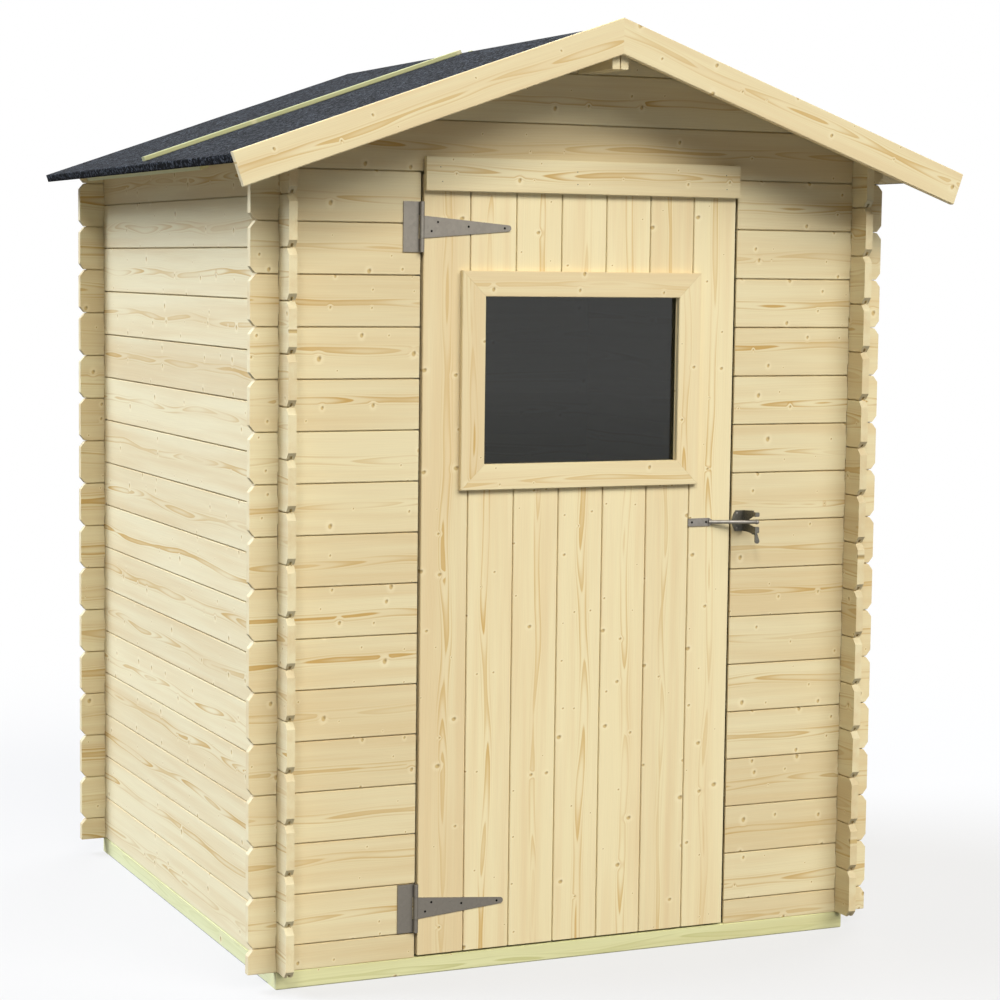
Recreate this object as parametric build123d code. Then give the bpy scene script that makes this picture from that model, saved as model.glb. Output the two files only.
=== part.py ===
from build123d import *
import math
import os

os.makedirs("parts", exist_ok=True)

# A small log-cabin garden shed with a gabled roof, built of 19 mm tongue-and-groove boards.
# Millimetres. X to the right seen from the front, Y to the back, Z up from the ground.
# The origin lies on the ground under the middle of the whole shed, roof included.

# Wall boards and base
course = 114.0              # height that one wall board covers
board_thickness = 19.0
wall_width = 1458.0         # outer face to outer face of the side walls
wall_depth = 1432.0         # outer face of the front wall to outer face of the back wall
eave_height = 1815.0        # side wall's outer face, from the base beams up to the roof
board_end = 65.0            # how far every board runs on past the corner
end_chamfer_depth = 13.0    # chamfer on each board end, along the board
end_chamfer_height = 16.0   # the same chamfer, up the board
beam_height = 40.0
beam_width = 58.0

# Roof
roof_pitch = 19.5           # degrees
deck_thickness = 16.0
felt_thickness = 3.0
roof_past_front = 172.0
roof_past_back = 82.0
roof_past_side = 121.0      # level distance from the side wall to the deck's lower edge
barge_thickness = 16.0
barge_width = 75.0
barge_above_felt = 12.0
barge_past_felt = 34.0      # along the slope, beyond the felted eave
ridge_plank_thickness = 18.0
ridge_plank_gap = 3.0
ridge_plank_least = 60.0    # the planks stand on the last joint at least this far below the ridge
notch_clearance = 0.5

# Battens that hold the felt down
batten_thickness = 10.0
roof_batten_width = 24.0
roof_batten_from_front = 682.0
roof_batten_from_eave = 34.0
roof_batten_from_ridge = 6.0
eave_batten_width = 20.0
eave_batten_inset = 4.0
eave_batten_length = 950.0
eave_batten_from_front = 198.0

# Doorway and door leaf
doorway_width = 800.0
door_gap = 6.0
door_thickness = 19.0
door_proud = 5.0            # the leaf stands this far in front of the wall's face
trim_thickness = 14.0
head_board_width = 75.0
head_board_over_wall = 33.0
ledge_width = 90.0
ledge_thickness = 19.0
ledge_inset = 22.0
brace_width = 80.0

# Window in the door
window_from_left = 146.0    # from the leaf's hinge edge to the clear opening
window_from_right = 154.0   # from the opening to the leaf's free edge
window_from_top = 267.0     # from the leaf's top edge down to the opening
window_height = 376.0
trim_width = 57.0
glass_lip = 4.5             # wood left in front of the glass
glass_cover = 11.0          # how far the rebate runs behind the lip
glass_thickness = 4.0
glass_clearance = 2.0
seat_clearance = 0.3

# Hinges
hinge_from_bottom = 109.0   # middle of the lower hinge, from the leaf's bottom edge
hinge_from_top = 115.0      # middle of the upper hinge, from the leaf's top edge
hinge_leaf_width = 36.0
hinge_leaf_height = 111.0
hinge_plate = 3.0
strap_plate = 2.5
strap_root = 50.0
strap_tip_radius = 7.0
strap_length = 216.0
barrel_radius = 5.5
pin_radius = 2.5
pin_clearance = 0.1
knuckle_gap = 0.8
barrel_past_wall_edge = 0.5
barrel_out = 7.5            # barrel's middle, in front of the wall's face
screw_hole = 4.5
screw_spots = [(23.0, -9.0), (38.0, 11.0), (112.0, 2.0), (200.0, 0.0)]

# Gate latch
latch_below_window = 90.5   # middle of the bar, from the window's lower trim plank
strike_length = 54.0
strike_height = 18.5
strike_from_edge = 60.0     # right end of the strike plate to the leaf's free edge
strike_plate = 3.0
strike_holes = (9.5, 47.0)  # from the plate's left end
strike_neck = 9.0           # length of the tapered neck between the plate and the bar
strike_neck_depth = 5.0
bar_radius = 4.5
bar_end_out = 45.0          # middle of the bar's knob, in front of the wall's face
knob_past_cheek = 12.0
knob_radius = 5.8
catch_from_edge = 0.5
catch_width = 27.0          # from the plate's left edge to the cheek's left face
catch_height = 49.0
catch_plate = 3.0
catch_bulge = 9.0           # how far the plate's left edge curves out
cheek_reach = 52.0          # in front of the wall's face
cheek_rise = 3.5            # how far the cheek's upper edge rises to its front
cheek_drop = 4.0            # how far its lower edge curves down to its front
cheek_drop_start = 26.0
slot_clearance = 3.0
slot_past_bar = 3.0
mouth_above = 14.0          # the slot's mouth, above and below the bar's middle
mouth_below = 9.5
jaw_reach = 64.0            # front of the two folded jaw ends, in front of the wall's face
jaw_width = 11.0
jaw_corner = 3.0
lever_thickness = 3.0
lever_gap = 1.0
lever_pivot_out = 38.0
lever_pivot_drop = 18.5
lever_hub_radius = 6.5
lever_pin_radius = 2.5
lever_arm_width = 6.0
thumb_out = 57.5            # face of the lever's thumb piece, in front of the wall's face
thumb_below = 25.0          # its upper end, below the bar's middle
thumb_height = 25.0
thumb_neck_radius = 3.0
thumb_radius = 6.0

# Places worked out from the sizes above
slope = math.radians(roof_pitch)
half_width = wall_width / 2
base_top = beam_height
roof_front_out = roof_past_front + barge_thickness
roof_back_out = roof_past_back + felt_thickness
y_front = (roof_front_out - roof_back_out - wall_depth) / 2
y_back = y_front + wall_depth
ridge_under = base_top + eave_height + half_width * math.tan(slope)
deck_length = (half_width + roof_past_side) / math.cos(slope)
deck_y0 = y_front - roof_past_front
deck_y1 = y_back + roof_past_back
front_joint = course / 2    # front and back boards lie half a course off the side boards


def last_front_joint(limit):
    """The highest joint of the front boards that isn't above this height."""
    first = base_top + front_joint
    return first + course * math.floor((limit - first) / course)


doorway_top = last_front_joint(base_top + eave_height)
ridge_plank_seat = last_front_joint(ridge_under - ridge_plank_least)
leaf_left = -doorway_width / 2 + door_gap
leaf_right = doorway_width / 2 - door_gap
leaf_bottom = base_top + door_gap
leaf_top = doorway_top - door_gap
leaf_front = y_front - door_proud
leaf_back = leaf_front + door_thickness
window_x0 = leaf_left + window_from_left
window_x1 = leaf_right - window_from_right
window_z1 = leaf_top - window_from_top
window_z0 = window_z1 - window_height
hinge_low = leaf_bottom + hinge_from_bottom
hinge_high = leaf_top - hinge_from_top
latch_z = window_z0 - trim_width - latch_below_window
barrel_x = -doorway_width / 2 + barrel_past_wall_edge
barrel_y = y_front - barrel_out


def block(x0, x1, y0, y1, z0, z1):
    """A straight-sided piece between two corners."""
    middle = Pos((x0 + x1) / 2, (y0 + y1) / 2, (z0 + z1) / 2)
    return middle * Box(x1 - x0, y1 - y0, z1 - z0)


def area(u0, u1, z0, z1):
    """A flat rectangle, drawn along a wall (u) and up it (z)."""
    return Pos((u0 + u1) / 2, (z0 + z1) / 2) * Rectangle(u1 - u0, z1 - z0)


def polygon(points):
    return make_face(Polyline(*points, close=True))


def along_x(sketch, y_outer, thickness):
    """Stand a sketch up in the front's direction, from its outer face backwards."""
    plane = Plane(origin=(0, y_outer + thickness, 0), x_dir=(1, 0, 0), z_dir=(0, -1, 0))
    return extrude(plane * sketch, thickness)


def along_y(sketch, x_start, thickness):
    """Stand a sketch up in the side's direction, from x_start to the right."""
    plane = Plane(origin=(x_start, 0, 0), x_dir=(0, 1, 0), z_dir=(1, 0, 0))
    return extrude(plane * sketch, thickness)


def joints_up_to(first_joint):
    """Every joint height of a wall, from the base beams to above the ridge."""
    count = int((ridge_under - base_top) / course) + 2
    return [base_top + first_joint + k * course for k in range(count)]


def wall_outline(middle, length, first_joint):
    """A wall's face: boards notched into the crossing wall and chamfered at every board end."""
    u0 = middle - length / 2
    u1 = middle + length / 2
    face = area(u0 - board_end, u1 + board_end, base_top, ridge_under + course)
    for end, inward in ((u0 - board_end, 1), (u1 + board_end, -1)):
        for joint in joints_up_to(first_joint):
            face -= polygon([(end, joint - end_chamfer_height),
                             (end + inward * end_chamfer_depth, joint),
                             (end, joint + end_chamfer_height)])
    for joint in joints_up_to(first_joint):
        for corner in (u0, u1 - board_thickness):
            face -= area(corner, corner + board_thickness, joint - course / 4, joint + course / 4)
    return face


def under_roof():
    """Everything below the roof boards, to trim the walls and the ridge planks."""
    reach = half_width + board_end + roof_past_side
    eave = ridge_under - reach * math.tan(slope)
    section = polygon([(-reach, 0), (reach, 0), (reach, eave), (0, ridge_under), (-reach, eave)])
    return along_x(section, deck_y0, deck_y1 - deck_y0)


def side_wall(side):
    sketch = wall_outline((y_front + y_back) / 2, wall_depth, 0)
    start = half_width - board_thickness if side > 0 else -half_width
    return along_y(sketch, start, board_thickness) & under_roof()


def end_wall_sketch():
    sketch = wall_outline(0, wall_width, front_joint)
    notch = ridge_plank_thickness + ridge_plank_gap / 2 + notch_clearance
    return sketch - area(-notch, notch, ridge_plank_seat, ridge_under + 2 * course)


def back_wall():
    return along_x(end_wall_sketch(), y_back - board_thickness, board_thickness) & under_roof()


def front_wall_piece(u0, u1, z0, z1):
    sketch = end_wall_sketch() & area(u0, u1, z0, z1)
    return along_x(sketch, y_front, board_thickness) & under_roof()


def base_beams():
    inner = half_width - beam_width
    return {
        "base_beam_front": block(-half_width, half_width, y_front, y_front + beam_width, 0, base_top),
        "base_beam_back": block(-half_width, half_width, y_back - beam_width, y_back, 0, base_top),
        "base_beam_left": block(-half_width, -inner, y_front + beam_width, y_back - beam_width, 0, base_top),
        "base_beam_right": block(inner, half_width, y_front + beam_width, y_back - beam_width, 0, base_top),
    }


def on_slope(distance, above, side):
    """A point of the roof's section: distance down the slope and height square to it."""
    x = distance * math.cos(slope) + above * math.sin(slope)
    z = ridge_under - distance * math.sin(slope) + above * math.cos(slope)
    return (side * x, z)


def at_ridge(above):
    """The point of a roof layer on the plumb cut at the ridge."""
    return (0, ridge_under + above / math.cos(slope))


def slope_layer(side, low, high, length, y0, y1):
    """A layer of the roof from the plumb cut at the ridge down to its square lower end."""
    section = polygon([at_ridge(low), on_slope(length, low, side),
                       on_slope(length, high, side), at_ridge(high)])
    return along_x(section, y0, y1 - y0)


def slope_bar(side, start, end, low, high, y0, y1):
    """A bar that lies on the slope between two distances from the ridge."""
    section = polygon([on_slope(start, low, side), on_slope(end, low, side),
                       on_slope(end, high, side), on_slope(start, high, side)])
    return along_x(section, y0, y1 - y0)


def roof_deck(side):
    return slope_layer(side, 0, deck_thickness, deck_length, deck_y0, deck_y1)


def roof_felt(side):
    """Felt over the boards, turned down over the eave and over the back edge."""
    top = deck_thickness + felt_thickness
    outer = deck_length + felt_thickness
    sheet = slope_layer(side, deck_thickness, top, outer, deck_y0, deck_y1)
    eave = slope_bar(side, deck_length, outer, 0, top, deck_y0, deck_y1)
    back = slope_layer(side, 0, top, outer, deck_y1, deck_y1 + felt_thickness)
    return sheet + eave + back


def barge_board(side):
    high = deck_thickness + felt_thickness + barge_above_felt
    length = deck_length + felt_thickness + barge_past_felt
    return slope_layer(side, high - barge_width, high, length, deck_y0 - barge_thickness, deck_y0)


def ridge_plank(side):
    inner = ridge_plank_gap / 2
    outer = inner + ridge_plank_thickness
    plank = block(min(side * inner, side * outer), max(side * inner, side * outer),
                  deck_y0, deck_y1, ridge_plank_seat, ridge_under)
    return plank & under_roof()


def roof_batten(side):
    low = deck_thickness + felt_thickness
    y0 = y_front + roof_batten_from_front
    end = deck_length + felt_thickness - roof_batten_from_eave
    return slope_bar(side, roof_batten_from_ridge, end, low, low + batten_thickness,
                     y0, y0 + roof_batten_width)


def eave_batten(side):
    end = deck_length - eave_batten_inset
    y0 = y_front + eave_batten_from_front
    return slope_bar(side, end - eave_batten_width, end, -batten_thickness, 0,
                     y0, y0 + eave_batten_length)


def window_box(grow):
    """The window's opening, made larger by grow on every side: x0, x1, z0, z1."""
    return (window_x0 - grow, window_x1 + grow, window_z0 - grow, window_z1 + grow)


def window_block(grow, y0, y1):
    x0, x1, z0, z1 = window_box(grow)
    return block(x0, x1, y0, y1, z0, z1)


def door_leaf():
    """The leaf of upright boards, rebated from behind around the window."""
    leaf = block(leaf_left, leaf_right, leaf_front, leaf_back, leaf_bottom, leaf_top)
    leaf -= window_block(0, leaf_front, leaf_back)
    return leaf - window_block(glass_cover, leaf_front + glass_lip, leaf_back)


def head_board():
    top = doorway_top + head_board_over_wall
    return block(leaf_left, leaf_right, leaf_front - trim_thickness, leaf_front,
                 top - head_board_width, top)


def door_ledge(middle):
    return block(leaf_left + ledge_inset, leaf_right - ledge_inset, leaf_back,
                 leaf_back + ledge_thickness, middle - ledge_width / 2, middle + ledge_width / 2)


def door_brace():
    """The diagonal that carries the free edge back to the lower hinge."""
    low = hinge_low + ledge_width / 2
    high = latch_z - ledge_width / 2
    left = leaf_left + ledge_inset
    right = leaf_right - ledge_inset
    outline = polygon([(left, low), (left + brace_width, low), (right, high), (right - brace_width, high)])
    return along_x(outline, leaf_back, ledge_thickness)


def window_trim():
    """Four mitred planks around the window."""
    ix0, ix1, iz0, iz1 = window_box(0)
    ox0, ox1, oz0, oz1 = window_box(trim_width)
    corners = {
        "window_trim_bottom": [(ox0, oz0), (ox1, oz0), (ix1, iz0), (ix0, iz0)],
        "window_trim_top": [(ox0, oz1), (ox1, oz1), (ix1, iz1), (ix0, iz1)],
        "window_trim_left": [(ox0, oz0), (ix0, iz0), (ix0, iz1), (ox0, oz1)],
        "window_trim_right": [(ox1, oz0), (ix1, iz0), (ix1, iz1), (ox1, oz1)],
    }
    front = leaf_front - trim_thickness
    return {name: along_x(polygon(points), front, trim_thickness) for name, points in corners.items()}


def window_glass():
    front = leaf_front + glass_lip + seat_clearance
    return window_block(glass_cover - glass_clearance, front, front + glass_thickness)


def window_bead():
    """Beads that close the rebate behind the glass."""
    front = leaf_front + glass_lip + glass_thickness + 2 * seat_clearance
    ring = window_block(glass_cover - seat_clearance, front, leaf_back)
    return ring - window_block(0, front, leaf_back)


def upright(x, y, z0, z1, radius):
    return Pos(x, y, (z0 + z1) / 2) * Cylinder(radius, z1 - z0)


def hinge_leaf(middle):
    """The fixed half of a T hinge: a plate on the wall, two knuckles and the pin."""
    low = middle - hinge_leaf_height / 2
    high = middle + hinge_leaf_height / 2
    knuckle_low = middle - strap_root / 2 - knuckle_gap
    knuckle_high = middle + strap_root / 2 + knuckle_gap
    barrel_edge = barrel_x - barrel_radius
    leaf = block(barrel_edge - knuckle_gap - hinge_leaf_width, barrel_edge - knuckle_gap,
                 y_front - hinge_plate, y_front, low, high)
    for z0, z1 in ((low, knuckle_low), (knuckle_high, high)):
        leaf += block(barrel_edge - knuckle_gap, barrel_x, y_front - hinge_plate, y_front, z0, z1)
        leaf += upright(barrel_x, barrel_y, z0, z1, barrel_radius)
    return leaf + upright(barrel_x, barrel_y, low, high, pin_radius)


def strap_outline():
    """The tapered strap, seen from the front, with its rounded tip."""
    tip = strap_length - strap_tip_radius
    half = strap_root / 2
    body = polygon([(0, -half), (0, half), (tip, strap_tip_radius), (tip, -strap_tip_radius)])
    outline = body + Pos(tip, 0) * Circle(strap_tip_radius)
    for across, up in screw_spots:
        outline -= Pos(across, up) * Circle(screw_hole / 2)
    return outline


def hinge_strap(middle):
    """The moving half of a T hinge: the strap on the leaf and its knuckle around the pin."""
    outline = Pos(barrel_x, middle) * strap_outline()
    strap = along_x(outline, leaf_front - strap_plate, strap_plate)
    half = strap_root / 2
    strap += upright(barrel_x, barrel_y, middle - half, middle + half, barrel_radius)
    return strap - upright(barrel_x, barrel_y, middle - half, middle + half, pin_radius + pin_clearance)


def rod(start, end, radius):
    """A round bar between two points."""
    direction = Vector(*end) - Vector(*start)
    return extrude(Plane(origin=start, z_dir=direction) * Circle(radius), direction.length)


def cheek_x():
    """Left face of the cheek, where the catch is folded forward."""
    return doorway_width / 2 + catch_from_edge + catch_width


def bar_line():
    """The bar's middle, from the strike plate to its knob: it leans out from the door."""
    start = (leaf_right - strike_from_edge, leaf_front - bar_radius, latch_z)
    end = (cheek_x() + catch_plate + knob_past_cheek, y_front - bar_end_out, latch_z)
    return start, end


def latch_bar():
    """The striker on the door: a screwed plate and a round bar that leans out and ends in a knob."""
    z = latch_z
    x1 = leaf_right - strike_from_edge
    x0 = x1 - strike_length
    half = strike_height / 2
    plate = area(x0, x1, z - half, z + half)
    for across in strike_holes:
        plate -= Pos(x0 + across, z) * Circle(screw_hole / 2)
    neck_end = x1 + strike_neck
    neck = polygon([(x1, z - half), (neck_end, z - bar_radius), (neck_end, z + bar_radius), (x1, z + half)])
    striker = along_x(plate, leaf_front - strike_plate, strike_plate)
    striker += along_x(neck, leaf_front - strike_neck_depth, strike_neck_depth)
    start, end = bar_line()
    return striker + rod(start, end, bar_radius) + Pos(*end) * Sphere(knob_radius)


def bar_y_at_cheek():
    """Where the bar's middle passes through the cheek."""
    start, end = bar_line()
    share = (cheek_x() + catch_plate / 2 - start[0]) / (end[0] - start[0])
    return start[1] + share * (end[1] - start[1])


def lever_pivot():
    return (y_front - lever_pivot_out, latch_z - lever_pivot_drop)


def catch_back_plate():
    """The catch's plate on the wall, with its left edge curved out."""
    x0 = doorway_width / 2 + catch_from_edge
    x1 = cheek_x() + catch_plate
    low = latch_z - catch_height / 2
    high = latch_z + catch_height / 2
    curve = ThreePointArc((x0 + catch_bulge, low), (x0, latch_z), (x0 + catch_bulge, high))
    rest = Polyline((x0 + catch_bulge, high), (x1, high), (x1, low), (x0 + catch_bulge, low))
    return along_x(make_face([curve, rest]), y_front - catch_plate, catch_plate)


def cheek_outline():
    """The cheek seen from its side: it's slotted for the bar, and its lower edge curves down."""
    low = latch_z - catch_height / 2
    high = latch_z + catch_height / 2
    front = y_front - cheek_reach
    curve_start = (y_front - cheek_drop_start, low)
    curve_end = (front, low - cheek_drop)
    curve = TangentArc(curve_start, curve_end, tangent=(-1, 0))
    rest = Polyline(curve_end, (front, high + cheek_rise), (y_front, high), (y_front, low), curve_start)
    slot = bar_radius + slot_clearance
    inner = bar_y_at_cheek() + slot_past_bar
    mouth = polygon([(inner, latch_z - slot), (front, latch_z - mouth_below),
                     (front, latch_z + mouth_above), (inner, latch_z + slot)])
    return make_face([curve, rest]) - mouth - Pos(inner, latch_z) * Circle(slot)


def jaw_outline(z0, z1):
    """A jaw's end seen from the front, with its two right corners rounded."""
    x0 = cheek_x()
    jaw = area(x0, x0 + jaw_width, z0, z1)
    return fillet(jaw.vertices().sort_by(Axis.X)[-2:], jaw_corner)


def latch_catch():
    """The catch on the wall: its plate, the cheek, the two folded jaw ends and the lever's pin."""
    catch = catch_back_plate() + along_y(cheek_outline(), cheek_x(), catch_plate)
    front = y_front - cheek_reach
    jaws = [(latch_z + mouth_above, latch_z + catch_height / 2),
            (latch_z - catch_height / 2, latch_z - mouth_below)]
    for z0, z1 in jaws:
        catch += block(cheek_x(), cheek_x() + catch_plate, y_front - jaw_reach, front, z0, z1)
        catch += along_x(jaw_outline(z0, z1), y_front - jaw_reach, catch_plate)
    pin_y, pin_z = lever_pivot()
    pin_end = cheek_x() + catch_plate + lever_gap + lever_thickness + lever_gap
    return catch + rod((cheek_x(), pin_y, pin_z), (pin_end, pin_y, pin_z), lever_pin_radius)


def lever_arm_outline():
    """The lever's arm seen from its side, from the pin to the back of the thumb piece."""
    pin_y, pin_z = lever_pivot()
    front = y_front - thumb_out
    top = latch_z - thumb_below
    arm = Pos(pin_y, pin_z) * Circle(lever_hub_radius)
    arm += polygon([(pin_y, pin_z + lever_hub_radius), (front, top), (front, top - lever_arm_width),
                    (pin_y, pin_z - lever_hub_radius)])
    return arm - Pos(pin_y, pin_z) * Circle(lever_pin_radius + pin_clearance)


def thumb_outline(x0):
    """The thumb piece seen from the front: a leaf that widens downwards."""
    top = latch_z - thumb_below
    neck = Pos(x0 + thumb_neck_radius, top - thumb_neck_radius) * Circle(thumb_neck_radius)
    pad = Pos(x0 + thumb_radius, top - thumb_height + thumb_radius) * Circle(thumb_radius)
    return make_hull(neck.edges() + pad.edges())


def latch_lever():
    """The release lever: an arm beside the cheek, folded at its end into a thumb piece."""
    x0 = cheek_x() + catch_plate + lever_gap
    arm = along_y(lever_arm_outline(), x0, lever_thickness)
    return arm + along_x(thumb_outline(x0), y_front - thumb_out, lever_thickness)


def front_wall():
    far = half_width + board_end
    high = ridge_under + course
    edge = doorway_width / 2
    return {
        "front_wall_left": front_wall_piece(-far, -edge, base_top, doorway_top),
        "front_wall_right": front_wall_piece(edge, far, base_top, doorway_top),
        "front_gable": front_wall_piece(-far, far, doorway_top, high),
    }


def build():
    nodes = {}
    nodes.update(base_beams())
    nodes.update(front_wall())
    nodes["back_wall"] = back_wall()
    for side, word in ((-1, "left"), (1, "right")):
        nodes[word + "_wall"] = side_wall(side)
        nodes["ridge_plank_" + word] = ridge_plank(side)
        nodes["roof_deck_" + word] = roof_deck(side)
        nodes["roof_felt_" + word] = roof_felt(side)
        nodes["barge_board_" + word] = barge_board(side)
        nodes["roof_batten_" + word] = roof_batten(side)
        nodes["eave_batten_" + word] = eave_batten(side)
    nodes["door_leaf"] = door_leaf()
    nodes["door_head_board"] = head_board()
    nodes["door_ledge_lower"] = door_ledge(hinge_low)
    nodes["door_ledge_middle"] = door_ledge(latch_z)
    nodes["door_ledge_upper"] = door_ledge(hinge_high)
    nodes["door_brace"] = door_brace()
    nodes.update(window_trim())
    nodes["window_glass"] = window_glass()
    nodes["window_bead"] = window_bead()
    for middle, word in ((hinge_low, "lower"), (hinge_high, "upper")):
        nodes["hinge_leaf_" + word] = hinge_leaf(middle)
        nodes["hinge_strap_" + word] = hinge_strap(middle)
    nodes["latch_bar"] = latch_bar()
    nodes["latch_catch"] = latch_catch()
    nodes["latch_lever"] = latch_lever()
    return nodes


for name, shape in build().items():
    shape.label = name
    export_step(shape, "parts/" + name + ".step")
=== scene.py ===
import math
import random

import bmesh
import bpy
from mathutils import Matrix, Vector


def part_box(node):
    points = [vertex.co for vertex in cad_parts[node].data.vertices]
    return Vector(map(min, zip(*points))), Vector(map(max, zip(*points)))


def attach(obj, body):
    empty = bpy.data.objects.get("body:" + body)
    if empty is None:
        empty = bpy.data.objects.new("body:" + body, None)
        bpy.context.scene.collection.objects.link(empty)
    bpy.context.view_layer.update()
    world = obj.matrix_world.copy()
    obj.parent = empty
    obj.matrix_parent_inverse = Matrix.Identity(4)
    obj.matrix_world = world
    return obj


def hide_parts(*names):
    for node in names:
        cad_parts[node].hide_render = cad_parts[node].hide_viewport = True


# The looks of a small log-cabin garden shed of tongue-and-groove spruce boards. Metres.
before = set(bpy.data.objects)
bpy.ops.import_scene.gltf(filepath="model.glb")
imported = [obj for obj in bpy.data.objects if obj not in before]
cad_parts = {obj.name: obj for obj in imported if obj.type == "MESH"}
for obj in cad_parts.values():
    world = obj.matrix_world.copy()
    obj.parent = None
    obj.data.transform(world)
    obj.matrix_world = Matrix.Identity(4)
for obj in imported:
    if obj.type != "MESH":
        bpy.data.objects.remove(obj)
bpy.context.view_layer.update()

MM = 0.001
chance = random.Random(23)


# Sizes read from the frame

def low(node, axis):
    return getattr(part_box(node)[0], axis)


def high(node, axis):
    return getattr(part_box(node)[1], axis)


half_width = high("right_wall", "x")
board_thickness = half_width - low("right_wall", "x")
base_top = high("base_beam_front", "z")
y_front = low("front_wall_left", "y")
y_back = high("back_wall", "y")
board_end = y_front - low("left_wall", "y")
doorway_left = high("front_wall_left", "x")
doorway_right = low("front_wall_right", "x")
doorway_top = high("front_wall_left", "z")
deck_y0 = low("roof_deck_left", "y")
deck_y1 = high("roof_deck_left", "y")
leaf_left = low("door_leaf", "x")
leaf_right = high("door_leaf", "x")
leaf_bottom = low("door_leaf", "z")
leaf_top = high("door_leaf", "z")
leaf_front = low("door_leaf", "y")
leaf_back = high("door_leaf", "y")
ridge_plank_seat = low("ridge_plank_left", "z")
window_x0 = high("window_trim_left", "x")
window_x1 = low("window_trim_right", "x")
window_z0 = high("window_trim_bottom", "z")
window_z1 = low("window_trim_top", "z")

# Sizes of the wall boards and what joins them
course = 114 * MM               # the height of wall that one board covers
face_layer = 6.5 * MM           # wood in front of the tongue
tongue_end = 12.5 * MM          # depth of the tongue's back
groove_depth = 9 * MM
tongue_height = 8.5 * MM
joint_gap = 2.6 * MM
tongue_setback = 6 * MM         # the tongue stops this much behind the chamfers
notch_height = course / 4       # above and below each joint, where two walls cross
notch_play = 1.3 * MM
end_chamfer_depth = 13 * MM
end_chamfer_height = 16 * MM
doorway_undercut = 9 * MM       # the wall's core stops this much short of the doorway
ridge_notch = 20 * MM           # half the notch in each gable for the two ridge planks

# Eased edges
board_ease = 1.2 * MM
plank_ease = 1.5 * MM
beam_ease = 2 * MM
bead_ease = 0.8 * MM
hardware_ease = 0.5 * MM
lever_ease = 0.6 * MM
thinnest_board = 2 * MM         # thinner slivers are left out
along_share = 0.8               # an edge this straight along the grain counts as running along it

# Sizes of the roof
roof_pitch = math.radians(19.5)
deck_thickness = 16 * MM
roof_board_count = 19
ridge_under = high("roof_deck_left", "z") - deck_thickness / math.cos(roof_pitch)
deck_length = (high("roof_deck_right", "x") - deck_thickness * math.sin(roof_pitch)) / math.cos(roof_pitch)
felt_thickness = 3 * MM
felt_top = deck_thickness + felt_thickness
felt_end = deck_length + felt_thickness
felt_bend = 3.5 * MM            # radius of the fold at the eave
felt_swell = 0.9 * MM           # the most that the felt lies uneven
felt_pinned = 0.1               # it lies flat at the ridge and is loose from here on
barge_rise = 12 * MM            # the barge boards stand this much above the felt
barge_height = 75 * MM
barge_reach = 34 * MM           # and run this much past its end
batten_thickness = 10 * MM
lap_batten_start = 6 * MM
lap_batten_shorter = 40 * MM    # than the felt's slope
eave_strip_inset = 24 * MM
eave_strip_width = 20 * MM

# Sizes of the door
door_board_count = 7
door_core_start = 8 * MM
door_core_end = 14 * MM
door_tongue = 7 * MM
door_groove = 7.5 * MM
door_edge_play = 3 * MM         # the last board is rebated in front, for the gap at the free edge
door_edge_groove = 9 * MM       # and its edge keeps a groove
glass_lip = 4.5 * MM            # wood in front of the pane
glass_cover = 11 * MM           # and how far it reaches over the pane's edge
trim_width = 57 * MM
mitre_gap = 0.15 * MM
brace_width = 80 * MM


# Timber: each board is a solid cut out of a tree, and its points remember where in the tree they lay

def place(origin, u, v, w):
    """The matrix from a board's own directions to the shed's."""
    matrix = Matrix((u, v, w)).transposed().to_4x4()
    matrix.translation = Vector(origin)
    return matrix


def front_place(y=0):
    """The place of what stands in the front's plane: u to the right, v up and w to the back, from y."""
    return place((0, y, 0), (1, 0, 0), (0, 0, 1), (0, 1, 0))


def link_new(name, data):
    """A new object in the scene."""
    made = bpy.data.objects.new(name, data)
    bpy.context.scene.collection.objects.link(made)
    return made


def sawn(along, across, through, middle=0.0, face=0.0):
    """How a board lay in its tree: its axes along the grain, across it and through it to the pith.

    middle and face are where the board's middle line and its face lie on the last two axes. Each board
    is at its own place along the trunk, up to 14 mm beside the pith and with its face 14 to 24 mm off it.
    """
    return {
        "axes": (along, across, through),
        "shift": (
            chance.uniform(0, 40),
            chance.uniform(-14, 14) * MM - middle,
            chance.uniform(14, 24) * MM - face,
        ),
        "tone": chance.uniform(-1, 1),
    }


def clip(outline, normal, limit):
    """The part of an outline where normal . point is at most limit."""
    kept = []
    for start, end in zip(outline, outline[1:] + outline[:1]):
        before = normal[0] * start[0] + normal[1] * start[1] - limit
        after = normal[0] * end[0] + normal[1] * end[1] - limit
        if before <= 0:
            kept.append(start)
        if before * after < 0:
            share = before / (before - after)
            kept.append((start[0] + share * (end[0] - start[0]), start[1] + share * (end[1] - start[1])))
    return kept


def narrow_side(outline):
    """The smaller side of the box round an outline, or 0 where nothing is left of it."""
    if len(outline) < 3:
        return 0.0
    across = [point[0] for point in outline]
    up = [point[1] for point in outline]
    return min(max(across) - min(across), max(up) - min(up))


def rectangle(u0, u1, v0, v1):
    return [(u0, v0), (u1, v0), (u1, v1), (u0, v1)]


def join_rings(solid, near, far):
    """The faces between two rings of points."""
    faces = []
    for k in range(len(near)):
        n = (k + 1) % len(near)
        faces.append(solid.faces.new((near[k], near[n], far[n], far[k])))
    return faces


def runs_along(edge, axis):
    """Whether a board's edge runs along its grain. Only these are eased: saw cuts stay crisp."""
    span = edge.verts[1].co - edge.verts[0].co
    return abs(span[axis]) > along_share * span.length


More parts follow.
